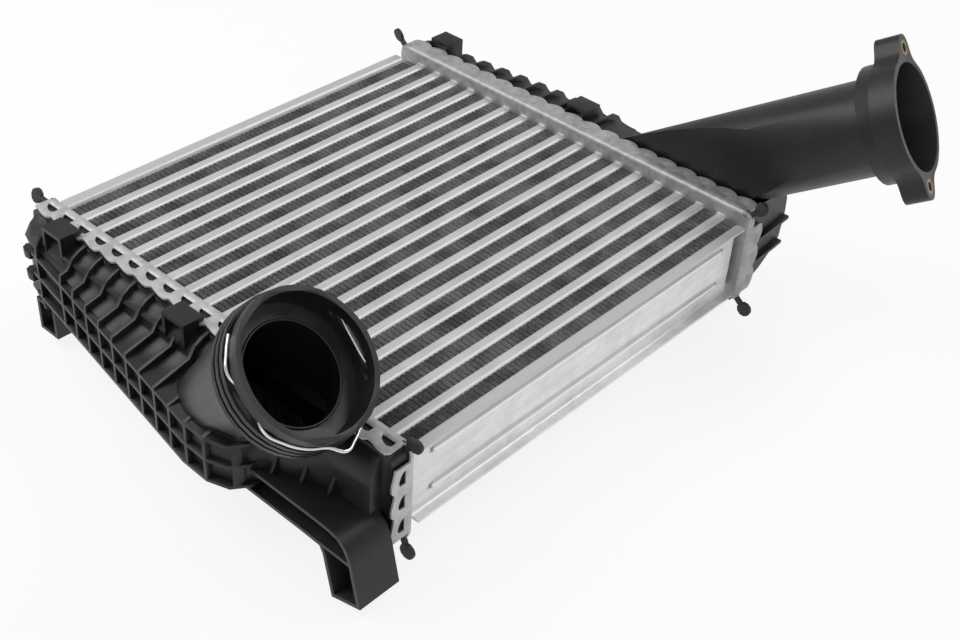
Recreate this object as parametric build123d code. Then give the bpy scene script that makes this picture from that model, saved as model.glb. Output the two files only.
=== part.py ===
from build123d import *
import math
import os

os.makedirs("parts", exist_ok=True)

# Frame while building: origin at the middle of the core, X along the tubes, Y across the stack, +Z up.
# The last step moves every part so that the origin is the middle of the whole object.

# Core
tube_count = 17
tube_pitch = 15.0
tube_thick = 6.6
tube_wall = 0.5
tube_corner = 2.0
core_depth = 44.8
core_length = 269.6
fin_height = tube_pitch - tube_thick
fin_recess = 1.0
fin_walls = 12
fin_strip = 0.8
fin_end_gap = 1.5
inner_fin_walls = 4
inner_fin_strip = 0.5
stack_half = ((tube_count + 1) * fin_height + tube_count * tube_thick) / 2

# Side plates, channels that open outwards
plate_gauge = 1.5
plate_lip = 7.2
plate_end_gap = 4.5
bead_height = 4.0
bead_rise = 1.2

# Header plates, pans that open away from the core
header_gauge = 1.5
header_half_y = stack_half + plate_lip + 0.7
header_half_z = core_depth / 2 + 8.2
header_corner = 6.0
corner_flats = 4
finger_reach = 14.7
finger_lip = 1.1
finger_drop = 2.0
window_pitch = 14.3
window_count = 19
window_y = 7.0
window_x = 3.4
# On the flange side the pressed tongues close most of each window.
narrow_window_x = 1.4
side_windows = (13.8, -1.4, -16.6)

# Gasket tabs: for each corner, the middle of the disc (y, z) and how far the rubber is twisted
disc_r = 4.4
disc_thick = 2.2
stem_width = 3.0
stem_thick = 2.0
gasket_tabs = {
    (-1, 1, 1): (149.0, 26.2, 0.3),
    (-1, -1, 1): (-141.8, 32.6, 0.2),
    (-1, -1, -1): (-139.6, -36.8, 0.0),
    (-1, 1, -1): (143.0, -34.5, 0.2),
    (1, 1, 1): (143.8, 33.8, 0.3),
    (1, -1, 1): (-142.9, 35.1, 0.5),
    (1, -1, -1): (-144.7, -33.7, 0.0),
    (1, 1, -1): (144.0, -34.0, 0.2),
}

# Tank foot and gasket
gasket_gauge = 3.0
foot_gap = 0.3
foot_width = 4.4
foot_top = finger_reach - finger_lip
header_wall = foot_top
foot_bottom = header_gauge + gasket_gauge
header_x = core_length / 2
lip_x = header_x + foot_top

# Tank walls and ribs
wall = 2.6
rib_gauge = 2.0
rib_offset = 1.5
nose_rib_z = 13.0
ledge_rib_z = 22.6
ledge_gauge = 1.4
wall_inset = 3.4
clear_x = header_x + finger_reach + 1.1

# Inlet socket on the port tank
port_mouth = Vector(-lip_x - 16.4, -103.4, 73.0)
port_axis = Vector(0.089, -0.671, 0.736).normalized()
socket_r = 33.0
socket_wall = 3.0
socket_depth = 15.7
port_bore_r = 25.0
collar_r = socket_r + 4.4
clip_groove = (6.0, 9.5)
groove_depth = 1.3
collar_rings = ((9.5, 12.0), (13.5, 16.0), (17.5, 20.0))
clip_wire = 0.9
clip_slots = ((182, 25.0), (-4, 35.0))
round_sides = 32
hood_middle_y = -60.0
hood_half_y = 43.0
hood_z = 16.0

# Two round lugs on the port tank's rear end
rear_lugs = (7.5, -7.3)

# Outlet neck on the flange tank
neck_face = Vector(lip_x + 42.9, -194.5, 96.1)
neck_axis = Vector(0.254, -0.823, 0.509).normalized()
neck_r = 27.0
neck_wall = 2.7
neck_collar_r = 33.2
neck_collar_length = 40.0
neck_open_r = 30.2
neck_open_depth = 20.0
flange_thick = 14.0
bolt_circle = 76.0
bolt_line = Vector(0.270, 0.565, 0.779)
lug_r = 7.6
insert_r = 4.4
insert_bore = 2.6
insert_length = 12.0
insert_sides = 12

# Brackets and foot
pocket_wall = 2.2
slit_height = 4.0
foot_inner_x = -clear_x
foot_outer_x = foot_inner_x - 25.5


def face_of(points):
    return make_face(Polyline(*points, close=True))


def box(low, high):
    size = [b - a for a, b in zip(low, high)]
    middle = [(a + b) / 2 for a, b in zip(low, high)]
    return Pos(*middle) * Box(*size)


def mirrored(shape, side):
    return shape if side > 0 else mirror(shape, about=Plane.YZ)


def tube_y(index):
    return (index - (tube_count - 1) / 2) * tube_pitch


def soft_rectangle(width, height, corner, flats):
    # A rectangle whose round corners are drawn as a few flats, which keeps the many copies light.
    points = []
    for turn, (a, b) in enumerate(((1, 1), (-1, 1), (-1, -1), (1, -1))):
        for k in range(flats + 1):
            angle = math.radians(90 * turn + 90 * k / flats)
            x = a * (width / 2 - corner) + corner * math.cos(angle)
            y = b * (height / 2 - corner) + corner * math.sin(angle)
            points.append((x, y, 0))
    return face_of(points)


def tube_outline():
    return soft_rectangle(tube_thick, core_depth, tube_corner, 1)


def flat_tube(index):
    length = core_length + 2 * (header_gauge + 2.4)
    inner = soft_rectangle(tube_thick - 2 * tube_wall, core_depth - 2 * tube_wall, tube_corner - tube_wall, 1)
    shell = extrude(Plane.YZ * (tube_outline() - inner), length / 2, both=True)
    return Pos(0, tube_y(index), 0) * shell


def wave(length, height, walls, strip):
    # A folded strip seen edge on: its crests touch plus and minus half the height.
    half = height / 2
    step = length / walls
    upper = []
    lower = []
    for k in range(walls + 1):
        s = -length / 2 + k * step
        high = k % 2 == 1
        upper.append((s, half if high else -half + strip))
        lower.append((s, half - strip if high else -half))
    return upper, lower


def air_fin(index):
    length = core_length - 2 * fin_end_gap
    upper, lower = wave(length, fin_height, fin_walls, fin_strip)
    points = [(s, h, 0) for s, h in upper] + [(s, h, 0) for s, h in reversed(lower)]
    depth = core_depth - 2 * fin_recess
    strip = extrude(face_of(points), depth / 2, both=True)
    return Pos(0, tube_y(index) - tube_pitch / 2, 0) * strip


def inner_fins():
    width = core_depth - 2 * tube_wall - 2 * tube_corner
    height = tube_thick - 2 * tube_wall
    upper, lower = wave(width, height, inner_fin_walls, inner_fin_strip)
    points = [(0, h, s) for s, h in upper] + [(0, h, s) for s, h in reversed(lower)]
    strip = extrude(face_of(points), core_length / 2, dir=(1, 0, 0), both=True)
    return Compound(children=[Pos(0, tube_y(i), 0) * strip for i in range(tube_count)])


def side_plate(side):
    half_x = core_length / 2 - plate_end_gap
    half_z = core_depth / 2
    y0 = stack_half
    y1 = stack_half + plate_lip
    plate = box((-half_x, y0, -half_z), (half_x, y0 + plate_gauge, half_z))
    plate += box((-half_x, y0, half_z - plate_gauge), (half_x, y1, half_z))
    plate += box((-half_x, y0, -half_z), (half_x, y1, -half_z + plate_gauge))
    # Two pressed beads stand out of the web.
    for z in (7.5, -8.5):
        bead_half = half_x - 14
        profile = [
            (-bead_half, y0 + plate_gauge, z - bead_height / 2),
            (-bead_half, y0 + plate_gauge + bead_rise, z - bead_height / 4),
            (-bead_half, y0 + plate_gauge + bead_rise, z + bead_height / 4),
            (-bead_half, y0 + plate_gauge, z + bead_height / 2),
        ]
        plate += extrude(face_of(profile), 2 * bead_half, dir=(1, 0, 0))
    # Folded ends close the gap to the header plates.
    for end in (-1, 1):
        x0, x1 = sorted((end * half_x, end * core_length / 2))
        plate += box((x0, y0, -half_z + 6), (x1, y0 + plate_gauge, half_z - 6))
    return plate if side > 0 else mirror(plate, about=Plane.XZ)


def rounded_slab(half_y, half_z, corner, x0, x1):
    slab = extrude(Plane.YZ * soft_rectangle(2 * half_y, 2 * half_z, corner, corner_flats), x1 - x0)
    return Pos(x0, 0, 0) * slab


def window_ys():
    return [(i - (window_count - 1) / 2) * window_pitch for i in range(window_count)]


def header_plate(side):
    x0 = header_x
    outer = rounded_slab(header_half_y, header_half_z, header_corner, x0, x0 + header_wall)
    inner = rounded_slab(
        header_half_y - header_gauge,
        header_half_z - header_gauge,
        header_corner - header_gauge,
        x0 + header_gauge,
        x0 + header_wall,
    )
    plate = outer - inner
    # Crimp fingers: each ends the wall with a tooth that folds in over the foot of the tank.
    tip = x0 + finger_reach
    root = x0 + header_wall
    low = header_half_z - header_gauge - finger_drop
    fingers = []
    for y in window_ys():
        outline = [(root, y + 6.2), (tip, y - 5.0), (root, y - 6.2)]
        finger = extrude(face_of([(x, v, low) for x, v in outline]), header_half_z - low, dir=(0, 0, 1))
        fingers.append(finger)
        fingers.append(mirror(finger, about=Plane.XY))
    low = header_half_y - header_gauge - finger_drop
    for z in side_windows:
        outline = [(root, z + 4.6), (tip, z - 3.6), (root, z - 4.6)]
        finger = extrude(face_of([(x, low, v) for x, v in outline]), header_half_y - low, dir=(0, 1, 0))
        fingers.append(finger)
        fingers.append(mirror(finger, about=Plane.XZ))
    plate = plate.fuse(*fingers)
    # Windows: a straight edge on the core side, an open curve towards the tank.
    cuts = []
    open_x = window_x if side < 0 else narrow_window_x
    for y in window_ys():
        shape = [
            (x0 + 6.0, y + window_y / 2),
            (x0 + 6.0, y - window_y / 2),
            (x0 + 6.0 + open_x, y - window_y / 2 + 1.0),
        ]
        cuts.append(
            extrude(face_of([(x, v, -header_half_z - 1) for x, v in shape]), 2 * header_half_z + 2, dir=(0, 0, 1))
        )
    for z in side_windows:
        shape = [
            (x0 + 5.6, z + 3.0),
            (x0 + 5.6, z - 3.0),
            (x0 + 5.6 + open_x, z),
        ]
        cuts.append(
            extrude(face_of([(x, -header_half_y - 1, v) for x, v in shape]), 2 * header_half_y + 2, dir=(0, 1, 0))
        )
    for i in range(tube_count):
        cuts.append(Pos(x0 - 1, tube_y(i), 0) * extrude(Plane.YZ * tube_outline(), header_gauge + 2))
    # Each corner is open from the gasket outwards, so that the tab can leave.
    for y in (-1, 1):
        for z in (-1, 1):
            start, toward = tab_line(side, y, z)
            place = Plane(origin=start + toward * 8, x_dir=(1, 0, 0), z_dir=toward)
            notch = Box(finger_reach, stem_width + 1.4, 16, align=(Align.MIN, Align.CENTER, Align.CENTER))
            cuts.append(place * Pos(-gasket_gauge / 2, 0, 0) * notch)
    plate = plate - cuts
    return mirrored(plate, side)


def tab_line(side, y_sign, z_sign):
    # Where a tab leaves the gasket, and the way it goes.
    inset = header_gauge + foot_gap + 3.0
    start = Vector(
        header_x + header_gauge + gasket_gauge / 2,
        y_sign * (header_half_y - inset),
        z_sign * (header_half_z - inset),
    )
    y, z, twist = gasket_tabs[(side, y_sign, z_sign)]
    return start, Vector(0, y - start.Y, z - start.Z).normalized()


def gasket_tab(side, y_sign, z_sign):
    # A flat stem through the open corner of the header plate ends in a disc.
    start, toward = tab_line(side, y_sign, z_sign)
    y, z, twist = gasket_tabs[(side, y_sign, z_sign)]
    middle = Vector(start.X, y, z)
    reach = (middle - start).length
    stem = Plane(origin=start + toward * (reach / 2), x_dir=(1, 0, 0), z_dir=toward)
    stem = stem * Box(stem_thick, stem_width, reach)
    across = Vector(0, -toward.Z, toward.Y)
    flat = (Vector(1, 0, 0) + across * twist).normalized()
    disc = Plane(origin=middle, x_dir=toward, z_dir=flat) * RegularPolygon(disc_r, 10)
    return stem + extrude(disc, disc_thick / 2, both=True)


def gasket(side):
    x0 = header_x + header_gauge
    half_y = header_half_y - header_gauge - foot_gap
    half_z = header_half_z - header_gauge - foot_gap
    corner = header_corner - header_gauge - foot_gap
    ring = rounded_slab(half_y, half_z, corner, x0, x0 + gasket_gauge)
    ring -= box(
        (x0, foot_width - half_y, foot_width - half_z), (x0 + gasket_gauge, half_y - foot_width, half_z - foot_width)
    )
    for y_sign in (-1, 1):
        for z_sign in (-1, 1):
            ring += gasket_tab(side, y_sign, z_sign)
    return mirrored(ring, side)


# Tank sections, from the flange tank's side: station y, shoulder reach and nose reach from the lip face.
port_sections = (
    (134.0, 7.6, 10.5),
    (129.0, 9.0, 12.5),
    (112.0, 10.7, 15.4),
    (-38.0, 10.9, 40.8),
    (-56.0, 10.9, 41.2),
    (-68.0, 10.9, 37.0),
    (-75.0, 10.9, 27.0),
    (-84.0, 10.2, 21.5),
    (-108.0, 8.0, 13.0),
    (-128.0, 7.8, 12.0),
    (-132.0, 6.5, 11.0),
)
neck_sections = (
    (134.0, 10.0, 16.0),
    (129.0, 12.0, 19.0),
    (49.0, 22.0, 31.0),
    (-10.0, 26.0, 38.0),
    (-60.0, 26.0, 38.0),
    (-112.0, 17.0, 29.0),
    (-132.0, 12.0, 22.0),
)


def half_profile(shoulder, nose, kind):
    if kind == "crest":
        return [
            (1.5, 30.2),
            (shoulder - 4.4, 28.7),
            (shoulder, 26.0),
            (shoulder + 3.7, 20.6),
            (nose, nose_rib_z + rib_gauge / 2),
        ]
    if kind == "ledge":
        return [
            (0.2, 28.2),
            (shoulder - 1.2, 24.6),
            (shoulder + 0.9, 21.6),
            (shoulder + 2.6, 18.6),
            (nose - wall_inset / 2, 12.0),
        ]
    if kind == "wall":
        return [
            (-1.0, 26.8),
            (shoulder - 6.0, 25.6),
            (shoulder - 2.6, 23.0),
            (shoulder + 1.4, 17.0),
            (nose - wall_inset, 11.0),
        ]
    return [
        (-3.0, 24.2),
        (shoulder - 6.8, 23.0),
        (shoulder - 3.0, 18.0),
        (shoulder - 1.0, 14.6),
        (nose - wall_inset - wall, 9.4),
    ]


def skinned(rings):
    # A solid between closed outlines of matching points, in flat faces only.
    faces = [face_of(rings[0]), face_of(rings[-1])]
    for low_ring, high_ring in zip(rings, rings[1:]):
        for k in range(len(low_ring)):
            n = (k + 1) % len(low_ring)
            a, b, c, d = low_ring[k], low_ring[n], high_ring[n], high_ring[k]
            twist = (b - a).cross(d - a).normalized().dot(c - a)
            if abs(twist) < 1e-6:
                faces.append(face_of([a, b, c, d]))
            else:
                faces.append(face_of([a, b, c]))
                faces.append(face_of([a, c, d]))
    return Solid(Shell(faces))


def hull(sections, kind, end_inset=0.0):
    rings = []
    last = len(sections) - 1
    for k, (y, shoulder, nose) in enumerate(sections):
        if k == 0:
            y -= end_inset
        if k == last:
            y += end_inset
        half = half_profile(shoulder, nose, kind)
        points = half + [(u, -z) for u, z in reversed(half)]
        rings.append([Vector(lip_x + u, y, z) for u, z in points])
    return skinned(rings)


def rib_grid(sections, stations, rows_y, ledge):
    # Upright ribs at the stations and rows along the nose, all cut to the crest outline.
    reach = 60
    slabs = []
    for y in stations:
        slabs.append(box((lip_x + 1.5, y - rib_gauge / 2, -40), (lip_x + reach, y + rib_gauge / 2, 40)))
    low_y, high_y = rows_y
    for z in (-nose_rib_z, 0, nose_rib_z):
        slabs.append(box((lip_x + 4, low_y, z - rib_gauge / 2), (lip_x + reach, high_y, z + rib_gauge / 2)))
    crest = hull(sections, "crest", -1.0)
    ribs = [crest & slab for slab in slabs]
    if ledge:
        z = ledge_rib_z
        slab = box((lip_x + 6, 1.5, z - ledge_gauge / 2), (lip_x + reach, high_y, z + ledge_gauge / 2))
        ribs.append(hull(sections, "ledge") & slab)
    return ribs


def tank_foot():
    half_y = header_half_y - header_gauge - foot_gap
    half_z = header_half_z - header_gauge - foot_gap
    corner = header_corner - header_gauge - foot_gap
    solid = rounded_slab(half_y, half_z, corner, header_x + foot_bottom, lip_x)
    opening = box(
        (header_x + foot_bottom, foot_width - half_y, foot_width - half_z),
        (lip_x - 1, half_y - foot_width, half_z - foot_width),
    )
    return solid, opening


def pocket(low, high, open_dir):
    # A square bracket, hollow and open on its outer side, with a slit towards the core behind its end plate.
    block = box(low, high)
    inner_low = [a + pocket_wall for a in low]
    inner_high = [b - pocket_wall for b in high]
    if open_dir > 0:
        inner_high[0] = high[0] + 1
    else:
        inner_low[0] = low[0] - 1
    slit_low = [low[0] - 1, inner_low[1], inner_low[2]]
    slit_high = [high[0] + 1, inner_high[1], inner_high[2]]
    if low[2] > 0:
        slit_low[2] = inner_high[2] - slit_height
    else:
        slit_high[2] = inner_low[2] + slit_height
    return block, box(inner_low, inner_high) + box(slit_low, slit_high)


def tank_base(side, sections, stations, rows_y, ledge):
    # Outer solid, ribs and void of a tank.
    foot, opening = tank_foot()
    outer = foot + hull(sections, "wall")
    ribs = rib_grid(sections, stations, rows_y, ledge)
    void = opening + hull(sections, "void", wall)
    return mirrored(outer, side), [mirrored(r, side) for r in ribs], mirrored(void, side)


def nose_reach(sections, y):
    # How far the flat nose of the wall stands out from the lip face at one station.
    for (y_high, _, high), (y_low, _, low) in zip(sections, sections[1:]):
        if y_low <= y <= y_high:
            return low + (high - low) * (y - y_low) / (y_high - y_low) - wall_inset
    return sections[-1][2] - wall_inset


def drawn_in(points, sections, depth):
    # The hood's foot is drawn in towards the core, so that it never stands out past the nose of the tank.
    inner = max(p.X for p in points)
    reach = inner - min(p.X for p in points)
    kept = []
    for p in points:
        room = inner + lip_x + nose_reach(sections, p.Y) - depth
        kept.append(Vector(inner + (p.X - inner) * min(1.0, room / reach), p.Y, p.Z))
    return kept


def flat_ring(plane, half_x, half_y, power=2.0):
    # A closed outline of short flats: an ellipse at power 2, squarer as the power grows.
    points = []
    for k in range(round_sides):
        c = math.cos(2 * math.pi * (k + 0.5) / round_sides)
        s = math.sin(2 * math.pi * (k + 0.5) / round_sides)
        x = half_x * math.copysign(abs(c) ** (2 / power), c)
        y = half_y * math.copysign(abs(s) ** (2 / power), s)
        points.append(plane.from_local_coords(Vector(x, y, 0)))
    return points


def true_ring(origin, axis, radius, start, end):
    plane = Plane(origin=origin - axis * end, x_dir=(1, 0, 0), z_dir=axis)
    return plane * Cylinder(radius, end - start, align=(Align.CENTER, Align.CENTER, Align.MIN))


def ring_on(origin, axis, radius, start, end, sides=round_sides):
    # A round bar of flats, lighter than a true cylinder.
    plane = Plane(origin=origin - axis * end, x_dir=(1, 0, 0), z_dir=axis)
    return extrude(plane * RegularPolygon(radius, sides), end - start)


def clip_plane():
    middle = sum(clip_groove) / 2
    return Plane(origin=port_mouth - port_axis * middle, x_dir=(1, 0, 0), z_dir=port_axis)


def retaining_clip():
    # The wire lies in the groove, dips through both slots and has one spring kink.
    seat = socket_r + socket_wall - groove_depth + clip_wire + 0.15
    dip = (socket_r + clip_wire + 0.15) / math.cos(math.radians(12))
    path = [
        (seat + 0.6, 132),
        (seat + 0.3, 148),
        (seat + 0.6, 163),
        (dip, 175),
        (dip, 189),
        (seat + 0.6, 203),
        (seat + 0.4, 220),
        (seat + 0.4, 238),
        (seat + 0.9, 256),
        (seat + 6.0, 268),
        (seat + 4.0, 277),
        (seat + 1.0, 291),
        (seat + 0.6, 307),
        (seat + 1.0, 323),
        (dip, 343),
        (dip, 367),
        (seat + 0.9, 385),
        (seat + 0.6, 402),
    ]
    points = []
    plane = clip_plane()
    for radius, angle in path:
        x = radius * math.cos(math.radians(angle))
        y = radius * math.sin(math.radians(angle))
        points.append(plane.from_local_coords((x, y, 0)))
    line = Polyline(*points)
    start = Plane(origin=line @ 0, z_dir=line % 0)
    return sweep(start * RegularPolygon(clip_wire, 6), path=line, transition=Transition.RIGHT)


def arm_outline():
    upper = [
        (-58.0, -3.4),
        (-116.0, -3.4),
        (-126.4, -3.9),
        (-132.8, -5.2),
        (-137.3, -9.1),
        (-139.9, -13.8),
        (-141.8, -19.9),
        (-144.1, -29.6),
        (-147.0, -42.0),
    ]
    lower = [(-127.9, -47.7), (-124.9, -35.4), (-121.9, -23.0), (-119.7, -19.4), (-107.0, -19.0), (-58.0, -19.0)]
    return upper, lower


def short_rib(y, z_root):
    # A low rib on the steep wall above the mounting arm, widest at its foot.
    root = -lip_x - nose_reach(port_sections, y)
    outline = [(root + 2, z_root), (root - 4.2, z_root), (root - 4.0, z_root + 1.2), (root, 5.5), (root + 2, 7.0)]
    return extrude(face_of([(x, y - rib_gauge / 2, z) for x, z in outline]), rib_gauge, dir=(0, 1, 0))


def port_tank():
    ys = [y + rib_offset for y in window_ys()]
    stations = [y for y in ys if -72 < y < 125 and abs(y - 103) > 5]
    outer, ribs, void = tank_base(-1, port_sections, stations, (-74.0, 122.0), True)
    ribs += [short_rib(y + 2.2, -3.0) for y in ys if -120 < y < -80]
    # The hood flows from the tank into the round socket.
    low_plane = Plane(origin=(-lip_x - 21.0, hood_middle_y, hood_z), x_dir=(1, 0, 0), z_dir=(0, 0, 1))
    collar_end = collar_rings[-1][1]
    top_plane = Plane(origin=port_mouth - port_axis * (collar_end - 0.5), x_dir=(1, 0, 0), z_dir=port_axis)
    low_ring = drawn_in(flat_ring(low_plane, 20.5, hood_half_y, 3.0), port_sections, 0)
    hood = skinned([low_ring, flat_ring(top_plane, collar_r - 2.6, collar_r - 2.6)])
    hood_low = extrude(face_of(low_ring), 14.0, dir=(0, 0, -1))
    throat_plane = Plane(origin=port_mouth - port_axis * (collar_end + 3.0), x_dir=(1, 0, 0), z_dir=port_axis)
    low_throat = drawn_in(flat_ring(low_plane, 17.5, hood_half_y - 4.0, 3.0), port_sections, wall)
    throat = skinned([low_throat, flat_ring(throat_plane, port_bore_r + 1.2, port_bore_r + 1.2)])
    throat += extrude(face_of(low_throat), 12.0, dir=(0, 0, -1))
    limit = box((-clear_x, -200, -40), (-clear_x + 70, 60, header_half_z + 1.6))
    throat_limit = box((-clear_x - wall, -200, -40), (-clear_x + 70, 60, header_half_z + 1.6 + wall))
    hood = (hood + hood_low) - limit
    throat = throat - throat_limit
    socket = ring_on(port_mouth, port_axis, socket_r + socket_wall, 0, collar_end)
    for start, end in collar_rings:
        socket += ring_on(port_mouth, port_axis, collar_r, start, end)
    groove = ring_on(port_mouth, port_axis, collar_r + 2, *clip_groove)
    groove -= ring_on(port_mouth, port_axis, socket_r + socket_wall - groove_depth, *clip_groove)
    socket -= groove
    lugs = []
    for z in rear_lugs:
        outline = [(3.6, 127), (12.0, 127), (12.4, 131), (11.0, 134.6), (8.0, 136), (5.0, 134.6), (3.6, 131)]
        lugs.append(extrude(face_of([(-lip_x - x, y, z - 2.2) for x, y in outline]), 4.4, dir=(0, 0, 1)))
    body = outer.fuse(*[s for r in ribs for s in r.solids()], hood, socket, *lugs)
    cuts = [void, throat]
    cuts.append(true_ring(port_mouth, port_axis, socket_r, -1, socket_depth))
    cuts.append(ring_on(port_mouth, port_axis, port_bore_r, 0, collar_end + 5.0))
    # Two slots let the straight runs of the clip into the socket.
    for turn, width in clip_slots:
        slot = Box(14, width, clip_groove[1] - clip_groove[0])
        cuts.append(clip_plane() * Rot(0, 0, turn) * Pos(socket_r - 2, 0, 0) * slot)
    # Brackets stand on the wall, so their hollows stop at it.
    skin = mirrored(hull(port_sections, "wall"), -1)
    brackets = [
        ((-lip_x - 11.0, 95.5, 15.0), (-lip_x + 1.8, 112.5, header_half_z + 3.4)),
        ((-lip_x - 11.0, -5.5, 15.0), (-lip_x + 1.8, 11.5, header_half_z + 3.4)),
        ((-lip_x - 11.6, 111.5, -41.4), (-lip_x - 0.2 - 1.6, 127.5, -20.0)),
    ]
    pockets = []
    for low, high in brackets:
        block, hollow = pocket(low, high, -1)
        if low[2] > 0:
            block -= box((-clear_x + 0.4, low[1], 0), (-clear_x + 50, high[1], header_half_z + 0.6))
        body += block
        pockets.append(hollow - skin)
    # The mounting arm: a plate frame open to minus X with a back wall.
    upper, lower = arm_outline()
    arm = extrude(face_of([(foot_outer_x, y, z) for y, z in upper + lower]), foot_inner_x - foot_outer_x, dir=(1, 0, 0))
    arm_hollow = extrude(
        offset(Plane.YZ * face_of([(y, z, 0) for y, z in upper + lower]), -pocket_wall, kind=Kind.INTERSECTION),
        foot_inner_x - pocket_wall - foot_outer_x + 1,
    )
    arm_hollow = Pos(foot_outer_x - 1, 0, 0) * arm_hollow
    arm_rib = box((foot_outer_x, -143.0, -18.9), (foot_inner_x, -119.0, -17.0))
    arm_rib &= extrude(face_of([(foot_outer_x, y, z) for y, z in upper + lower]), 26, dir=(1, 0, 0))
    arm_hollow -= skin
    arm = arm - arm_hollow + arm_rib
    body += arm
    body = body - cuts - pockets
    return body


def flange_tank():
    ys = [y + rib_offset for y in window_ys()]
    stations = [y for y in ys if y > -20]
    outer, ribs, void = tank_base(1, neck_sections, stations, (-20.0, 140.0), False)
    neck = ring_on(neck_face, neck_axis, neck_r, 8.0, 190.0)
    keep = box((clear_x, -400, -200), (400, 200, 300))
    neck = neck & keep
    collar = ring_on(neck_face, neck_axis, neck_collar_r, flange_thick, neck_collar_length)
    bolt_dir = (bolt_line - neck_axis * bolt_line.dot(neck_axis)).normalized()
    flange_plane = Plane(origin=neck_face - neck_axis * flange_thick, x_dir=bolt_dir, z_dir=neck_axis)
    # Two lugs joined to a round middle by straight tangents.
    middle_r = neck_collar_r + 0.6
    lean = math.degrees(math.acos((middle_r - lug_r) / (bolt_circle / 2)))
    outline = []
    for middle_x, radius, first, last, steps in (
        (bolt_circle / 2, lug_r, -lean, lean, 6),
        (0, middle_r, lean, 180 - lean, 8),
        (-bolt_circle / 2, lug_r, 180 - lean, 180 + lean, 6),
        (0, middle_r, 180 + lean, 360 - lean, 8),
    ):
        for k in range(steps + 1):
            angle = math.radians(first + (last - first) * k / steps)
            outline.append((middle_x + radius * math.cos(angle), radius * math.sin(angle), 0))
    outline = face_of(outline)
    flange = extrude(flange_plane * outline, flange_thick)
    body = outer.fuse(*[s for r in ribs for s in r.solids()], neck, collar, flange)
    bore = ring_on(neck_face, neck_axis, neck_r - neck_wall, 0, 186.0)
    bore = bore & box((clear_x + wall, -400, -200), (400, 200, 300))
    cuts = [void, bore, true_ring(neck_face, neck_axis, neck_open_r, -1, neck_open_depth)]
    for sign in (-1, 1):
        place = neck_face + bolt_dir * (sign * bolt_circle / 2)
        cuts.append(ring_on(place, neck_axis, insert_r, -1, flange_thick + 1, insert_sides))
    pockets = []
    skin = hull(neck_sections, "wall")
    top = header_half_z + 3.4
    for low, high in (
        ((clear_x + 0.2, 111.0, 15.0), (clear_x + 14.0, 126.5, top)),
        ((clear_x + 0.2, -5.5, 15.0), (clear_x + 14.0, 10.0, top)),
        ((clear_x + 0.2, 111.0, -41.4), (clear_x + 14.0, 126.5, -20.0)),
        ((clear_x + 0.2, -5.5, -41.4), (clear_x + 14.0, 10.0, -20.0)),
    ):
        block, hollow = pocket(low, high, 1)
        body += block
        pockets.append(hollow - skin)
    return body - cuts - pockets


def flange_inserts():
    bolt_dir = (bolt_line - neck_axis * bolt_line.dot(neck_axis)).normalized()
    pieces = []
    for sign in (-1, 1):
        place = neck_face + bolt_dir * (sign * bolt_circle / 2)
        sleeve = ring_on(place, neck_axis, insert_r, 0, insert_length, insert_sides)
        pieces.append(sleeve - true_ring(place, neck_axis, insert_bore, -1, insert_length + 1))
    return Compound(children=pieces)


parts = {}
for i in range(tube_count):
    parts[f"tube_{i + 1:02d}"] = flat_tube(i)
for i in range(tube_count + 1):
    parts[f"fin_{i + 1:02d}"] = air_fin(i)
parts["inner_fins"] = inner_fins()
parts["side_plate_front"] = side_plate(-1)
parts["side_plate_rear"] = side_plate(1)
parts["header_plate_left"] = header_plate(-1)
parts["header_plate_right"] = header_plate(1)
parts["gasket_left"] = gasket(-1)
parts["gasket_right"] = gasket(1)
parts["tank_left"] = port_tank()
parts["tank_right"] = flange_tank()
parts["flange_inserts"] = flange_inserts()
parts["retaining_clip"] = retaining_clip()

# Move the origin from the middle of the core to the middle of the object.
boxes = [shape.bounding_box() for shape in parts.values()]
low = [min(tuple(b.min)[k] for b in boxes) for k in range(3)]
high = [max(tuple(b.max)[k] for b in boxes) for k in range(3)]
shift = [-(a + b) / 2 for a, b in zip(low, high)]
print("moved by", [round(v, 3) for v in shift])

for name, shape in parts.items():
    print(name, len(shape.solids()), shape.bounding_box().size)
    export_step(Pos(*shift) * shape, f"parts/{name}.step")
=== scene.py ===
import math
from collections import Counter

import bmesh
import bpy
from mathutils import Matrix, Vector, noise


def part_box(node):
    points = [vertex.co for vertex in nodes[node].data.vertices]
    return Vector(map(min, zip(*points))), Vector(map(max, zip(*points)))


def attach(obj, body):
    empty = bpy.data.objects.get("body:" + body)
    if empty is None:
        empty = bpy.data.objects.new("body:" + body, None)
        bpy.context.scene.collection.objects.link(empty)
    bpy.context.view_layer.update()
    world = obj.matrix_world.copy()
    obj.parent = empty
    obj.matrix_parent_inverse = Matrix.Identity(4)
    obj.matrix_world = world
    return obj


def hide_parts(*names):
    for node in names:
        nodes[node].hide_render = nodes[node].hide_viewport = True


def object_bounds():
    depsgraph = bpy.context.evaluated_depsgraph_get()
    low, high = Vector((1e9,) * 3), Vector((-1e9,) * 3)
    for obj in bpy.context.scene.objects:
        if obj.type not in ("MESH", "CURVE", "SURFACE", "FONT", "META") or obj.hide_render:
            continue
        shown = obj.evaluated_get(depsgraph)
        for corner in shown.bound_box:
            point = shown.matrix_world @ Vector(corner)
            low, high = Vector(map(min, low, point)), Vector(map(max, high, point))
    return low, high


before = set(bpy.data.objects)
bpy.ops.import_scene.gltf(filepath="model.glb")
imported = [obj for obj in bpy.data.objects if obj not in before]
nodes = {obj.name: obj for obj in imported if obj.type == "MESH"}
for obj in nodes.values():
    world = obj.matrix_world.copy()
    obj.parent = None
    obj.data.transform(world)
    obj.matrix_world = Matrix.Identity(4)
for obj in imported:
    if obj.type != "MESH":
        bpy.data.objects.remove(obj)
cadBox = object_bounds()

# everything below is drawn in millimetres from the middle of the core, X along the tubes, Y across them
tubeLow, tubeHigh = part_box("tube_09")
coreMiddle = (tubeLow + tubeHigh) / 2
mm = 0.001


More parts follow.
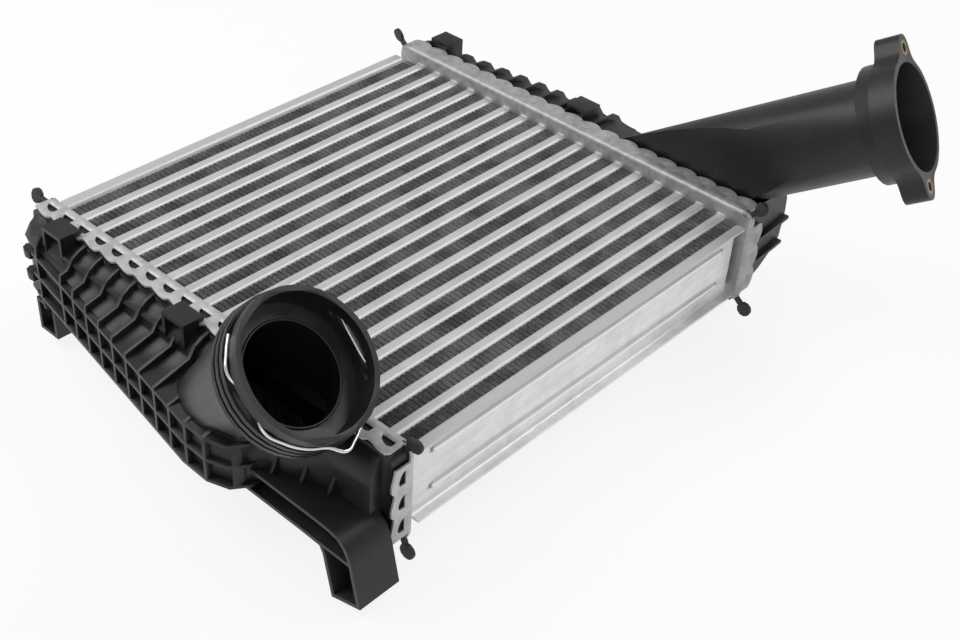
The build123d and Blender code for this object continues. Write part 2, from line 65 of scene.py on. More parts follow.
class Amount:
    # one number in a shader; sums and products on it add their own Math nodes
    def __init__(self, shading, socket):
        self.shading = shading
        self.socket = socket

    def maths(self, operation, *values):
        node = self.shading.add("ShaderNodeMath", {"operation": operation}, dict(enumerate(values)))
        return Amount(self.shading, node.outputs[0])

    def __add__(self, other):
        return self.maths("ADD", self, other)

    def __radd__(self, other):
        return self.maths("ADD", other, self)

    def __sub__(self, other):
        return self.maths("SUBTRACT", self, other)

    def __rsub__(self, other):
        return self.maths("SUBTRACT", other, self)

    def __mul__(self, other):
        return self.maths("MULTIPLY", self, other)

    def __rmul__(self, other):
        return self.maths("MULTIPLY", other, self)

    def __truediv__(self, other):
        return self.maths("DIVIDE", self, other)

    def __rtruediv__(self, other):
        return self.maths("DIVIDE", other, self)

    def __abs__(self):
        return self.maths("ABSOLUTE", self)

    def fraction(self):
        return self.maths("FRACT", self)

    def larger(self, other):
        return self.maths("MAXIMUM", self, other)


class Shading:
    # the nodes of one material, or of the world
    def __init__(self, tree):
        self.tree = tree
        tree.nodes.clear()

    def add(self, kind, settings, sockets):
        node = self.tree.nodes.new(kind)
        for key, value in settings.items():
            setattr(node, key, value)
        for key, value in sockets.items():
            self.feed(node.inputs[key], value)
        return node

    def feed(self, socket, value):
        if isinstance(value, Amount):
            self.tree.links.new(value.socket, socket)
        elif isinstance(value, bpy.types.NodeSocket):
            self.tree.links.new(value, socket)
        else:
            socket.default_value = value

    def number(self, node, output=0):
        return Amount(self, node.outputs[output])

    def place(self, stretch=(1, 1, 1), shift=(0, 0, 0)):
        # object coordinates in metres, stretched and shifted by a Mapping node
        where = self.add("ShaderNodeTexCoord", {}, {}).outputs["Object"]
        sockets = {"Vector": where, "Scale": stretch, "Location": shift}
        return self.add("ShaderNodeMapping", {}, sockets).outputs[0]

    def grain(self, stretch, detail):
        # soft noise, finer where the stretch is larger
        sockets = {"Vector": self.place(stretch), "Scale": 1.0, "Detail": detail}
        return self.number(self.add("ShaderNodeTexNoise", {}, sockets), "Fac")

    def spread(self, amount, low, high):
        # maps low..high of a pattern onto 0..1
        sockets = {"Value": amount, "From Min": low, "From Max": high}
        return self.number(self.add("ShaderNodeMapRange", {"interpolation_type": "SMOOTHSTEP"}, sockets))

    def fade(self, amount, low, high):
        # 1 up to low, 0 from high
        return 1 - self.spread(amount, low, high)

    def blendColor(self, factor, first, second):
        node = self.add("ShaderNodeMix", {"data_type": "RGBA"}, {"Factor": factor, 6: first, 7: second})
        return node.outputs[2]

    def bump(self, height, distance, strength):
        sockets = {"Height": height, "Distance": distance, "Strength": strength}
        return self.add("ShaderNodeBump", {}, sockets).outputs[0]


class Finish(Shading):
    def __init__(self, name):
        self.material = bpy.data.materials.new(name)
        self.material.use_nodes = True
        super().__init__(self.material.node_tree)
        self.shader = self.add("ShaderNodeBsdfPrincipled", {}, {})
        self.output = self.add("ShaderNodeOutputMaterial", {}, {"Surface": self.shader.outputs[0]})

    def set(self, sockets):
        for key, value in sockets.items():
            self.feed(self.shader.inputs[key], value)


def gray(level, tint=0.0):
    return (level * (1 - tint), level, level * (1 + tint), 1)


tubeLook = {
    "light": gray(0.60, 0.012),
    "dark": gray(0.52, 0.012),
    # painted highlight along the front corner of each tube
    "edge": gray(0.95),
    "pitch": 0.015,  # between the painted highlights on the front edges of two tubes, in metres
    "front": 0.0033 - coreMiddle.y,  # brings one of these edges to zero
    "width": 0.075,  # of a painted highlight line, as a share of the pitch
}
plateLook = {
    "light": gray(0.92, 0.006),
    "dark": gray(0.78, 0.006),
    # painted shade on the upper flange
    "flange": gray(0.58, 0.006),
    # painted highlight along each bead's crest
    "crest": gray(0.97),
    # painted shade at the foot of each bead
    "foot": gray(0.40, 0.006),
    # painted shade: a dark pit at each bead's end
    "end": gray(0.08),
    "beads": (11.9, -11.6),
    "beadHalf": 117.0,
}
headerLook = {
    "light": gray(0.58, 0.012),
    "dark": gray(0.44, 0.012),
    "rough": 0.48,
    "metallic": 0.5,
    "stretch": (240, 240, 240),
    "waves": 0.8,
}
# a darker copy of the same finish: painted shade on the right end's plate
headerShadedLook = dict(headerLook, light=gray(0.44, 0.012), dark=gray(0.32, 0.012))
finLook = {
    "light": gray(0.42, 0.01),
    "dark": gray(0.19, 0.01),
    "rough": 0.45,
    "metallic": 0.45,
    "stretch": (500, 500, 500),
    "waves": 0.4,
}
plasticLook = {"light": gray(0.014, 0.02), "dark": gray(0.007, 0.02), "rough": 0.29, "specular": 0.42}
rubberLook = {"light": gray(0.03), "dark": gray(0.012), "rough": 0.5}
steelLook = {"light": gray(0.82), "dark": gray(0.62), "rough": 0.16}
brassLook = {"light": (0.45, 0.33, 0.20, 1), "dark": (0.22, 0.14, 0.08, 1), "rough": 0.35}


def brushedAluminium(name, look):
    finish = Finish(name)
    streaks = finish.grain(look["stretch"], 3.0)
    clouds = finish.grain((60, 60, 60), 4.0)
    specks = finish.grain((900, 900, 900), 1.0)
    tone = finish.spread(streaks * 0.45 + clouds * 0.55, 0.36, 0.64)
    finish.set({
        "Base Color": finish.blendColor(tone, look["dark"], look["light"]),
        "Metallic": look["metallic"],
        "Roughness": look["rough"] + clouds * 0.12 + specks * 0.05 - 0.08,
        "Normal": finish.bump(streaks * 0.5 + clouds * look["waves"] + specks * 0.15, 0.0004, 0.5),
    })
    return finish.material


def tubeAluminium():
    # rolled flat, with a painted highlight along the drawn front corner of each tube
    finish = Finish("tubeAluminium")
    streaks = finish.grain((12, 500, 500), 3.0)
    clouds = finish.grain((60, 60, 60), 4.0)
    place = finish.place(shift=(0, tubeLook["front"], 0))
    across = finish.number(finish.add("ShaderNodeSeparateXYZ", {}, {"Vector": place}), 1)
    turns = (across / tubeLook["pitch"]).fraction()
    # a painted highlight: a thin bright stripe at each tube's front corner
    line = finish.fade(turns, tubeLook["width"] * 0.5, tubeLook["width"])
    tone = finish.spread(streaks * 0.45 + clouds * 0.55, 0.36, 0.64)
    flat = finish.blendColor(tone, tubeLook["dark"], tubeLook["light"])
    finish.set({
        "Base Color": finish.blendColor(line, flat, tubeLook["edge"]),
        "Metallic": 0.35,
        "Roughness": 0.46 + clouds * 0.12,
        "Normal": finish.bump(streaks * 0.5 + clouds * 0.8, 0.0004, 0.5),
    })
    return finish.material


def plateAluminium():
    # the pressed beads get a painted highlight along each crest and painted shade at the foot of each bead,
    # with a dark painted pit of shade at each bead's end; the upper flange is painted darker as shade
    finish = Finish("plateAluminium")
    streaks = finish.grain((14, 300, 300), 3.0)
    clouds = finish.grain((60, 60, 60), 4.0)
    blots = finish.grain((170, 170, 170), 5.0)
    parts = finish.add("ShaderNodeSeparateXYZ", {}, {"Vector": finish.place(shift=-coreMiddle)})
    height = finish.number(parts, 2)
    along = abs(finish.number(parts, 0))
    half = plateLook["beadHalf"]
    length = finish.fade(along, (half - 0.8) * mm, (half + 0.8) * mm)
    # mask of the bead ends, where the dark painted pit of shade lies
    ends = finish.spread(along, (half - 1.5) * mm, half * mm)
    ends = ends * finish.fade(along, (half + 1.0) * mm, (half + 2.5) * mm)
    paintedCrestHighlights = 0
    paintedFootShade = 0
    paintedPitShade = 0
    for bead in plateLook["beads"]:
        off = abs(height - bead * mm)
        paintedCrestHighlights = finish.fade(off, 0.7 * mm, 1.3 * mm) + paintedCrestHighlights
        paintedFootShade = finish.fade(off, 2.0 * mm, 3.4 * mm) + paintedFootShade
        paintedPitShade = finish.fade(off, 1.0 * mm, 2.2 * mm) + paintedPitShade
    # painted shade on the upper flange
    flange = finish.spread(height, 21.6 * mm, 22.2 * mm)
    tone = finish.spread(streaks * 0.3 + clouds * 0.45 + blots * 0.25, 0.38, 0.62)
    base = finish.blendColor(tone, plateLook["dark"], plateLook["light"])
    # painted shade at the foot of each bead
    withFootShade = finish.blendColor(paintedFootShade * length * 0.4, base, plateLook["foot"])
    # painted shade: a dark pit at each bead's end
    withPitShade = finish.blendColor(paintedPitShade * ends * 0.8, withFootShade, plateLook["end"])
    # painted highlight along each bead's crest
    withCrestHighlights = finish.blendColor(paintedCrestHighlights * length, withPitShade, plateLook["crest"])
    finish.set({
        "Base Color": finish.blendColor(flange, withCrestHighlights, plateLook["flange"]),
        "Metallic": 0.5,
        "Roughness": 0.40 + clouds * 0.12 - paintedCrestHighlights * length * 0.1,
        "Normal": finish.bump(streaks * 0.4 + clouds * 1.2 + blots * 0.35, 0.0005, 0.6),
    })
    return finish.material


def tankPlastic():
    finish = Finish("tankPlastic")
    fibres = finish.grain((420, 420, 90), 4.0)
    clouds = finish.grain((28, 28, 28), 3.0)
    pores = finish.grain((1600, 1600, 1600), 2.0)
    tone = finish.spread(clouds * 0.6 + fibres * 0.4, 0.35, 0.68)
    finish.set({
        "Base Color": finish.blendColor(tone, plasticLook["dark"], plasticLook["light"]),
        "Roughness": plasticLook["rough"] + fibres * 0.14 + clouds * 0.12,
        "Specular IOR Level": plasticLook["specular"],
        "Normal": finish.bump(pores * 0.5 + fibres * 0.5, 0.00025, 0.45),
    })
    return finish.material


def sealRubber():
    finish = Finish("sealRubber")
    dust = finish.grain((500, 500, 500), 3.0)
    tone = finish.spread(dust, 0.4, 0.7)
    finish.set({
        "Base Color": finish.blendColor(tone, rubberLook["dark"], rubberLook["light"]),
        "Roughness": rubberLook["rough"] + dust * 0.2,
        "Normal": finish.bump(dust, 0.0002, 0.5),
    })
    return finish.material


def clipSteel():
    finish = Finish("clipSteel")
    draw = finish.grain((700, 700, 700), 2.0)
    finish.set({
        "Base Color": finish.blendColor(draw, steelLook["dark"], steelLook["light"]),
        "Metallic": 1.0,
        "Roughness": steelLook["rough"] + draw * 0.12,
        "Normal": finish.bump(draw, 0.0001, 0.3),
    })
    return finish.material


def insertBrass():
    finish = Finish("insertBrass")
    knurl = finish.grain((800, 800, 800), 2.0)
    finish.set({
        "Base Color": finish.blendColor(knurl, brassLook["dark"], brassLook["light"]),
        "Metallic": 0.9,
        "Roughness": brassLook["rough"] + knurl * 0.15,
        "Normal": finish.bump(knurl, 0.0002, 0.4),
    })
    return finish.material


tubeFinish = tubeAluminium()
plateFinish = plateAluminium()
headerFinish = brushedAluminium("headerAluminium", headerLook)
# painted shade: the right end's plate takes the darker copy of the header finish
headerShadedFinish = brushedAluminium("headerShadedAluminium", headerShadedLook)
finFinish = brushedAluminium("finAluminium", finLook)
plasticFinish = tankPlastic()
rubberFinish = sealRubber()
steelFinish = clipSteel()
brassFinish = insertBrass()
print("finishes ready")


def addObject(name, data):
    added = bpy.data.objects.new(name, data)
    bpy.context.scene.collection.objects.link(added)
    return added


def addPiece(name, mesh, material, replaced, sharpAngle):
    piece = addObject(name, mesh)
    mesh.materials.append(material)
    for face in mesh.polygons:
        face.use_smooth = True
    mesh.set_sharp_from_angle(angle=math.radians(sharpAngle))
    # a sheet's free edges stay crisp
    uses = Counter(key for face in mesh.polygons for key in face.edge_keys)
    for edge in mesh.edges:
        if uses[edge.key] == 1:
            edge.use_edge_sharp = True
    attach(piece, "root")
    if replaced:
        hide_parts(*replaced)
    return piece


def meshFrom(name, work):
    # from millimetres around the core's middle to metres in the frame
    bmesh.ops.scale(work, vec=(mm, mm, mm), verts=work.verts)
    bmesh.ops.translate(work, vec=coreMiddle, verts=work.verts)
    mesh = bpy.data.meshes.new(name)
    work.to_mesh(mesh)
    work.free()
    return mesh


def onlyVerts(geometry):
    return [item for item in geometry if isinstance(item, bmesh.types.BMVert)]


def roundCorners(work, corners, radius, segments):
    bmesh.ops.bevel(
        work, geom=corners, offset=radius, offset_type="OFFSET", segments=segments, profile=0.5,
        affect="VERTICES", clamp_overlap=True, material=-1,
    )


def wireThrough(work, points):
    # a chain of edges, grown vertex by vertex
    tip = work.verts.new(points[0])
    chain = [tip]
    for point in points[1:]:
        tip = bmesh.ops.extrude_vert_indiv(work, verts=[tip])["verts"][0]
        tip.co = Vector(point)
        chain.append(tip)
    return chain


def pushEdges(work, edges, move):
    grown = bmesh.ops.extrude_edge_only(work, edges=edges)["geom"]
    bmesh.ops.translate(work, vec=move, verts=onlyVerts(grown))
    return [item for item in grown if isinstance(item, bmesh.types.BMEdge)]


def placeRing(work, points):
    # a closed ring of vertices, laid on the given points
    ring = bmesh.ops.create_circle(work, cap_ends=False, segments=len(points), radius=1)["verts"]
    for vert, point in zip(ring, points):
        vert.co = Vector(point)
    return ring


def growRow(work, row, points, closed=True):
    # pull a new row out of the last one and lay it on the given points
    following = row[1:] + row[:1] if closed else row[1:]
    edges = [work.edges.get(pair) for pair in zip(row, following)]
    fresh = set(onlyVerts(bmesh.ops.extrude_edge_only(work, edges=edges)["geom"]))
    grown = []
    for vert, point in zip(row, points):
        new = next(edge.other_vert(vert) for edge in vert.link_edges if edge.other_vert(vert) in fresh)
        new.co = Vector(point)
        grown.append(new)
    return grown


def thicken(piece, thickness, offset=-1.0):
    wall = piece.modifiers.new("wall", "SOLIDIFY")
    wall.thickness = thickness * mm
    wall.offset = offset


# flat tubes
tubes = {
    "count": 17,
    "pitch": 15.0,
    "thick": 6.6,
    "depth": 44.8,
    "corner": 1.9,
    "length": 277.4,
    "wall": 0.45,
    "steps": 10,
    "unevenness": 0.16,
}


def tubeY(index):
    return (index - (tubes["count"] - 1) / 2) * tubes["pitch"]


def buildTube(index):
    work = bmesh.new()
    bmesh.ops.create_grid(work, x_segments=1, y_segments=1, size=0.5)
    bmesh.ops.scale(work, vec=(tubes["thick"], tubes["depth"], 1), verts=work.verts)
    roundCorners(work, work.verts[:], tubes["corner"], 6)
    bmesh.ops.delete(work, geom=work.faces[:], context="FACES_ONLY")
    # stand the outline up in the YZ plane at the left end
    turn = Matrix(((0, 0, 1), (1, 0, 0), (0, 1, 0))).to_4x4()
    bmesh.ops.transform(work, matrix=turn, verts=work.verts)
    bmesh.ops.translate(work, vec=(-tubes["length"] / 2, tubeY(index), 0), verts=work.verts)
    edges = work.edges[:]
    for step in range(tubes["steps"]):
        edges = pushEdges(work, edges, (tubes["length"] / tubes["steps"], 0, 0))
    # real tubes are never quite flat
    rounded = tubes["depth"] / 2 - 1.4
    for vert in work.verts:
        if abs(vert.co.z) > rounded:
            spot = Vector((vert.co.x / 38, index * 3.7, vert.co.z / 9))
            vert.co.z += tubes["unevenness"] * noise.noise(spot)
    bmesh.ops.recalc_face_normals(work, faces=work.faces)
    mesh = meshFrom(f"tubeShell{index + 1:02d}", work)
    piece = addPiece(mesh.name, mesh, tubeFinish, [f"tube_{index + 1:02d}"], 60)
    thicken(piece, tubes["wall"])


for index in range(tubes["count"]):
    buildTube(index)
print("tubes built")


# folded fins
fins = {
    "height": 8.4,
    "gap": 0.05,  # left between a crest and its tube
    "length": 266.6,
    "spacing": 1.66,
    "depth": 42.8,
    "lean": 0.30,
    "shoulder": 0.35,
    "edge": 2.2,  # depth of the last strip of sheet at either face
    "sheet": 0.13,
    "bent": 0.22,
    "bentPlaces": 2.4,  # how much more the edges are bent where something has hit them
    "pulledOut": 0.18,
}


def buildFin(index):
    work = bmesh.new()
    half = fins["height"] / 2 - fins["gap"]
    folds = int(fins["length"] / (2 * fins["spacing"]))
    pitch = fins["length"] / folds
    lean = fins["lean"]
    crest = pitch / 2 - lean
    shoulder = half - fins["shoulder"]
    # one fold: a lower crest, a wall, an upper crest, a wall
    wireThrough(work, [
        (0, -shoulder, 0),
        (crest * 0.22, -half, 0),
        (crest * 0.78, -half, 0),
        (crest, -shoulder, 0),
        (crest + lean, shoulder, 0),
        (crest + lean + crest * 0.22, half, 0),
        (crest + lean + crest * 0.78, half, 0),
        (2 * crest + lean, shoulder, 0),
        (pitch, -shoulder, 0),
    ])
    edges = work.edges[:]
    for move in (fins["edge"], fins["depth"] - 2 * fins["edge"], fins["edge"]):
        edges = pushEdges(work, edges, (0, 0, move))
    unit = work.verts[:] + work.edges[:] + work.faces[:]
    for fold in range(1, folds):
        copied = bmesh.ops.duplicate(work, geom=unit)["geom"]
        bmesh.ops.translate(work, vec=(pitch * fold, 0, 0), verts=onlyVerts(copied))
    bmesh.ops.remove_doubles(work, verts=work.verts, dist=0.01)
    middle = tubeY(index) - tubes["pitch"] / 2
    bmesh.ops.translate(work, vec=(-fins["length"] / 2, middle, -fins["depth"] / 2), verts=work.verts)
    # handling leaves the outer edges slightly bent, more in some places
    for vert in work.verts:
        if abs(vert.co.z) > fins["depth"] / 2 - 0.5:
            spot = Vector((vert.co.x / 19, index * 5.1, vert.co.z / 30))
            strength = max(0.0, noise.noise(spot)) * 2.2
            shake = noise.noise(Vector((vert.co.x * 1.3, vert.co.y, index)))
            inner = 1 - (abs(vert.co.y - middle) / (half + 0.2)) ** 4
            vert.co.x += fins["bent"] * (0.4 + fins["bentPlaces"] * strength) * shake * inner
            out = math.copysign(fins["pulledOut"] * shake * strength, vert.co.z)
            vert.co.z += out - math.copysign(0.1, vert.co.z)
    bmesh.ops.recalc_face_normals(work, faces=work.faces)
    mesh = meshFrom(f"finStrip{index + 1:02d}", work)
    piece = addPiece(mesh.name, mesh, finFinish, [f"fin_{index + 1:02d}"], 70)
    thicken(piece, fins["sheet"], 0)


for index in range(tubes["count"] + 1):
    buildFin(index)
print("fins built")


# side plates
sidePlate = {
    "inner": 131.7,
    "outer": 138.9,
    "half": 130.3,
    "depth": 22.4,
    "gauge": 1.5,
    "corner": 1.6,
    "beads": plateLook["beads"],
    "beadRun": 115.0,  # half the length at full height
    "beadEnd": 5.0,  # length over which a bead runs out
    "beadRise": 1.9,
    "footHalf": 2.4,
    "crestHalf": 0.8,
    "unevenness": 0.22,
}


def buildSidePlate(side, name, nodeName):
    work = bmesh.new()
    near = sidePlate["inner"] + sidePlate["gauge"]
    rise = near + sidePlate["beadRise"]
    lip = sidePlate["outer"]
    deep = sidePlate["depth"]
    half = sidePlate["half"]
    foot = sidePlate["footHalf"]
    crest = sidePlate["crestHalf"]
    # outer face of the channel, from the upper lip round to the lower one
    points = [(lip, deep), (near, deep)]
    kinds = ["free", "corner"]
    for bead in sidePlate["beads"]:
        points += [(near, bead + foot), (rise, bead + crest), (rise, bead - crest), (near, bead - foot)]
        kinds += ["foot", "crest", "crest", "foot"]
    points += [(near, -deep), (lip, -deep)]
    kinds += ["corner", "free"]
    chain = wireThrough(work, [(-half, y, z) for y, z in points])
    for kind, radius, segments in (("corner", sidePlate["corner"], 4), ("foot", 1.1, 3), ("crest", 0.7, 3)):
        roundCorners(work, [vert for vert, label in zip(chain, kinds) if label == kind], radius, segments)
    run = sidePlate["beadRun"]
    end = sidePlate["beadEnd"]
    stops = [-run - end, -run - end / 2]
    stops += [run * k / 6 for k in range(-6, 7)]
    stops += [run + end / 2, run + end, half]
    edges = work.edges[:]
    here = -half
    for stop in stops:
        edges = pushEdges(work, edges, (stop - here, 0, 0))
        here = stop
    for vert in work.verts:
        if abs(vert.co.z) < deep - 3:
            out = vert.co.y - near
            if out > 0:
                past = (abs(vert.co.x) - run) / end
                vert.co.y = near + out * min(1.0, max(0.0, 1 - past))
            spot = Vector((vert.co.x / 30, vert.co.z / 14, side))
            vert.co.y += sidePlate["unevenness"] * noise.noise(spot)
    # the sheet's wall grows inwards from this face
    bmesh.ops.recalc_face_normals(work, faces=work.faces)
    if side < 0:
        bmesh.ops.scale(work, vec=(1, -1, 1), verts=work.verts)
    work.normal_update()
    if sum(face.normal.y * face.calc_area() for face in work.faces) * side < 0:
        bmesh.ops.reverse_faces(work, faces=work.faces)
    piece = addPiece(name, meshFrom(name, work), plateFinish, [nodeName], 50)
    thicken(piece, sidePlate["gauge"] - 0.05)


buildSidePlate(-1, "sidePlateFront", "side_plate_front")
buildSidePlate(1, "sidePlateRear", "side_plate_rear")
print("side plates built")


# header plates
header = {
    "face": 134.8,
    "halfY": 139.9,
    "halfZ": 30.6,
    "bend": 2.6,
    "corner": 6.0,
    "gauge": 1.1,
    "tilePitch": 14.3,
    "tileCount": 19,
    "sidePitch": 15.2,
    "sideTiles": (13.8, -1.4, -16.6),
    "wallStart": 3.4,
    "windowMiddle": 8.0,
    "ferrule": 1.1,
}
# windows and a leaning edge at the port's end, dents and round lobes at the flange's
portStyle = {
    "window": (8.2, 4.4),
    "closed": False,
    "dip": 0.5,
    "leaning": True,
    "valley": 12.9,
    "lobe": 1.8,
}
flangeStyle = {
    "window": (1.8, 1.5),
    "closed": True,
    "dip": 0.9,
    "leaning": False,
    "valley": 11.2,
    "lobe": 3.5,
}


def smoothStep(low, high, value):
    part = min(1.0, max(0.0, (value - low) / (high - low)))
    return part * part * (3 - 2 * part)


def freeEdge(t, pitch, style):
    # how far one tongue reaches from the face of the pan
    u = t / pitch + 0.5
    if style["leaning"]:
        rise = smoothStep(0.0, 0.14, u) * (1 - smoothStep(0.3, 1.0, u))
    else:
        rise = math.sin(math.pi * min(1.0, max(0.0, u))) ** 0.8
    return style["valley"] + style["lobe"] * rise


def onWall(wall, out, middle, x, t, drop):
    # a point of a tongue on one of the long walls, which face Z, or the short ones, which face Y
    if wall == "long":
        return (x, middle + t, out * (header["halfZ"] - drop))
    return (x, out * (header["halfY"] - drop), middle + t)


def buildTongue(work, wall, out, middle, pitch, style):
    # one window and the sheet round it, from the foot of the wall to the free edge
    start = header["wallStart"]
    quarter = (style["valley"] - start) / 4
    wide, deep = style["window"]
    near = header["windowMiddle"] - deep / 2
    acrossTile = [-pitch / 2 + k * pitch / 8 for k in range(9)]
    border = [(start, t) for t in acrossTile]
    border += [(start + quarter * k, pitch / 2) for k in (1, 2, 3)]
    border += [(freeEdge(t, pitch, style), t) for t in reversed(acrossTile)]
    border += [(start + quarter * k, -pitch / 2) for k in (3, 2, 1)]
    # the far side of the window is a quarter round, square on the near side
    turns = [math.radians(90 * k / 14) for k in range(1, 13)]
    hole = [(near, -wide / 2 + wide * k / 8) for k in range(9)]
    hole += [(near + deep * math.sin(turn), -wide / 2 + wide * math.cos(turn)) for turn in turns]
    hole += [(near + deep * k / 4, -wide / 2) for k in (3, 2, 1)]
    ring = None
    for share in (0.0, 0.12, 0.5, 1.0):
        points = []
        for (holeX, holeT), (borderX, borderT) in zip(hole, border):
            x = holeX + (borderX - holeX) * share
            t = holeT + (borderT - holeT) * share
            drop = style["dip"] * (1 - smoothStep(0.0, 0.5, share)) + 0.3 * smoothStep(11.0, 15.0, x)
            points.append(onWall(wall, out, middle, x, t, drop))
        ring = growRow(work, ring, points) if ring else placeRing(work, points)
        if share == 0.0 and style["closed"]:
            bmesh.ops.contextual_create(work, geom=ring)


def panRing(offset, x):
    # the outline of the pan, with vertices where the tongues start
    halfY = header["halfY"] - header["bend"] + offset
    halfZ = header["halfZ"] - header["bend"] + offset
    radius = header["corner"] - header["bend"] + offset
    longLow = -header["tilePitch"] * header["tileCount"] / 2
    longSide = [longLow + k * header["tilePitch"] / 8 for k in range(header["tileCount"] * 8 + 1)]
    shortLow = header["sideTiles"][-1] - header["sidePitch"] / 2
    shortSide = [shortLow + k * header["sidePitch"] / 8 for k in range(len(header["sideTiles"]) * 8 + 1)]

    def corner(across, up, start):
        turns = [math.radians(start - 15 * k) for k in range(7)]
        y = across * (halfY - radius)
        z = up * (halfZ - radius)
        return [(x, y + radius * math.cos(turn), z + radius * math.sin(turn)) for turn in turns]

    points = [(x, y, halfZ) for y in longSide] + corner(1, 1, 90)
    points += [(x, halfY, z) for z in reversed(shortSide)] + corner(1, -1, 0)
    points += [(x, y, -halfZ) for y in reversed(longSide)] + corner(-1, -1, -90)
    points += [(x, -halfY, z) for z in shortSide] + corner(-1, 1, 180)
    return points


def slotLoop(y, grow, x):
    # the outline of one tube, grown a little
    halfY = tubes["thick"] / 2 + grow
    halfZ = tubes["depth"] / 2 + grow
    radius = tubes["corner"] + grow
    points = []
    for quarter, (across, up) in enumerate(((1, 1), (-1, 1), (-1, -1), (1, -1))):
        for k in range(6):
            turn = math.radians(90 * quarter + 18 * k)
            pointY = y + across * (halfY - radius) + radius * math.cos(turn)
            points.append((x, pointY, up * (halfZ - radius) + radius * math.sin(turn)))
    return points


def cellLoop(y, low, high, halfZ):
    # the border of one tube's share of the floor, point for point with slotLoop
    points = []
    for across, up in ((high, 1), (low, 1), (low, -1), (high, -1)):
        corner = [(1, 0.55), (1, 0.78), (1, 1), (0.72, 1), (0.45, 1), (0.2, 1)]
        if across * up < 0:
            corner.reverse()
        points += [(0, y + across * share, up * halfZ * height) for share, height in corner]
    return points


def finishSheet(work, side, name, replaced, material):
    # drawn for the right end, mirrored for the left one
    bmesh.ops.translate(work, vec=(header["face"], 0, 0), verts=work.verts)
    if side < 0:
        bmesh.ops.scale(work, vec=(-1, 1, 1), verts=work.verts)
        bmesh.ops.reverse_faces(work, faces=work.faces)
    piece = addPiece(name, meshFrom(name, work), material, replaced, 40)
    thicken(piece, header["gauge"])


def buildHeader(side, name, nodeName, style, material):
    work = bmesh.new()
    ring = None
    for turn in (0, 22.5, 45, 67.5, 90):
        angle = math.radians(turn)
        points = panRing(header["bend"] * math.sin(angle), header["bend"] * (1 - math.cos(angle)))
        ring = growRow(work, ring, points) if ring else placeRing(work, points)
    growRow(work, ring, panRing(header["bend"], header["wallStart"]))
    for index in range(header["tileCount"]):
        y = (index - (header["tileCount"] - 1) / 2) * header["tilePitch"]
        for out in (1, -1):
            buildTongue(work, "long", out, y, header["tilePitch"], style)
    for z in header["sideTiles"]:
        for out in (1, -1):
            buildTongue(work, "short", out, z, header["sidePitch"], style)
    bmesh.ops.remove_doubles(work, verts=work.verts, dist=0.02)
    bmesh.ops.recalc_face_normals(work, faces=work.faces)
    if sum(face.normal.z * face.calc_center_median().z for face in work.faces) < 0:
        bmesh.ops.reverse_faces(work, faces=work.faces)
    finishSheet(work, side, name, [nodeName], material)
    # the floor, with a drawn collar round every tube
    work = bmesh.new()
    floorZ = header["halfZ"] - header["bend"] + 0.3
    endY = header["halfY"] - header["bend"] + 0.3
    for index in range(tubes["count"]):
        y = tubeY(index)
        low = -tubes["pitch"] / 2 if index else -endY - y
        high = tubes["pitch"] / 2 if index < tubes["count"] - 1 else endY - y
        ring = placeRing(work, cellLoop(y, low, high, floorZ))
        for grow, x in ((1.2, 0.0), (0.35, -0.55), (0.06, -header["ferrule"])):
            ring = growRow(work, ring, slotLoop(y, grow, x))
    bmesh.ops.remove_doubles(work, verts=work.verts, dist=0.02)
    bmesh.ops.recalc_face_normals(work, faces=work.faces)
    if sum(face.normal.x * face.calc_area() for face in work.faces) > 0:
        bmesh.ops.reverse_faces(work, faces=work.faces)
    finishSheet(work, side, name + "Floor", [], material)


buildHeader(-1, "headerPlateLeft", "header_plate_left", portStyle, headerFinish)
buildHeader(1, "headerPlateRight", "header_plate_right", flangeStyle, headerShadedFinish)
print("header plates built")


# wire clip, bent round the inlet socket
socketMouth = Vector((-164.8, -103.4, 73.0))
socketAxis = Vector((0.089, -0.671, 0.736)).normalized()
clip = {
    "wire": 0.9,
    "depth": 7.75,
    # radius and angle round the socket; at the small radii the wire dips through a slot
    "run": (
        (36.35, 130), (36.05, 144), (36.35, 158), (32.0, 173), (32.0, 190), (36.35, 205),
        (36.15, 220), (36.15, 238), (36.65, 256), (41.15, 268), (39.35, 277), (36.75, 291),
        (36.35, 307), (36.75, 329), (32.8, 347), (32.8, 368), (36.65, 386), (36.35, 402),
    ),
}


def buildClip():
    curve = bpy.data.curves.new("clipRun", "CURVE")
    curve.dimensions = "3D"
    curve.bevel_depth = clip["wire"] * mm
    curve.bevel_resolution = 5
    curve.resolution_u = 6
    curve.use_fill_caps = True
    run = curve.splines.new("BEZIER")
    run.bezier_points.add(len(clip["run"]) - 1)
    side = (Vector((1, 0, 0)) - socketAxis * socketAxis.x).normalized()
    up = socketAxis.cross(side)
    for point, (radius, angle) in zip(run.bezier_points, clip["run"]):
        turn = math.radians(angle)
        spot = socketMouth - socketAxis * clip["depth"]
        spot += side * (radius * math.cos(turn)) + up * (radius * math.sin(turn))
        point.co = coreMiddle + spot * mm
        point.handle_left_type = "AUTO"
        point.handle_right_type = "AUTO"
    holder = bpy.data.objects.new("clipRun", curve)
    mesh = bpy.data.meshes.new_from_object(holder)
    bpy.data.objects.remove(holder)
    mesh.name = "retainingWire"
    addPiece("retainingWire", mesh, steelFinish, ["retaining_clip"], 60)


buildClip()
print("clip bent")


# rounded lip where the bore leaves the socket
boreLip = {"radius": 25.0, "bead": 0.7, "depth": 15.6}


